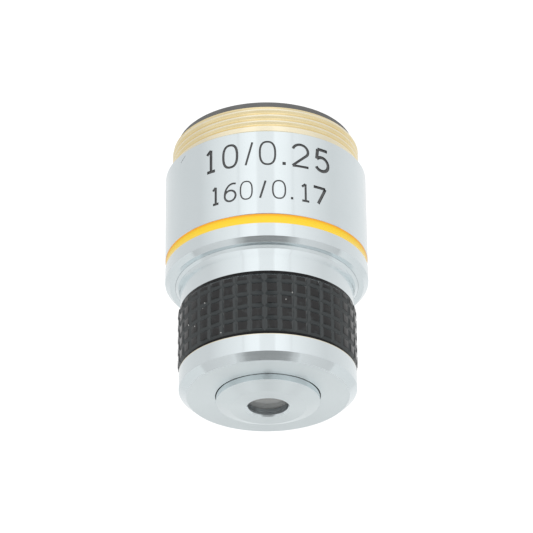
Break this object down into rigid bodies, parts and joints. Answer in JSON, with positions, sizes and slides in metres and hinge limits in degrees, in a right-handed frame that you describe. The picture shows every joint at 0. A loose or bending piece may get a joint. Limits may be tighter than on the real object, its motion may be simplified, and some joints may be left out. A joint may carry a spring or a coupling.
{
  "type": "microscope objective",
  "caption": "Low-power achromatic microscope objective: chromed barrel with a yellow band, brass screw mount, black checkered grip, coned nose, and cemented doublets in a lens stack.",
  "frame": {"origin": "centre of the locating shoulder, on the optical axis", "axes": "+Z along the optical axis towards the microscope tube, so the screw is above the origin and the nose below; -Y faces the side that carries the numerals"},
  "size_m": [0.0216, 0.0216, 0.0315],
  "materials": {
    "chrome_plate": "bright chrome plate over brass with fine turning marks",
    "bare_brass": "bare turned brass",
    "blackened_brass": "chemically blackened, matte",
    "black_anodised": "black anodised, matte",
    "black_grip": "moulded black, satin",
    "yellow_enamel": "gloss enamel",
    "crown_glass": "polished, coated",
    "flint_glass": "polished, coated"
  },
  "bodies": {
    "root": {"mount_body": "bare_brass", "outer_barrel": "chrome_plate", "colour_band": "yellow_enamel", "nose_sleeve": "chrome_plate", "grip_ring": "black_grip", "nose_cap": "chrome_plate", "front_cell": "chrome_plate", "front_flint_lens": "flint_glass", "front_crown_lens": "crown_glass", "front_lens_ring": "blackened_brass", "spacing_washer": "blackened_brass", "spacer_tube": "blackened_brass", "rear_cell": "blackened_brass", "rear_flint_lens": "flint_glass", "rear_crown_lens": "crown_glass", "rear_lens_ring": "blackened_brass", "aperture_stop": "black_anodised", "stack_lock_ring": "blackened_brass", "sleeve_lock_ring": "blackened_brass", "rear_baffle": "black_anodised"}
  },
  "joints": []
}
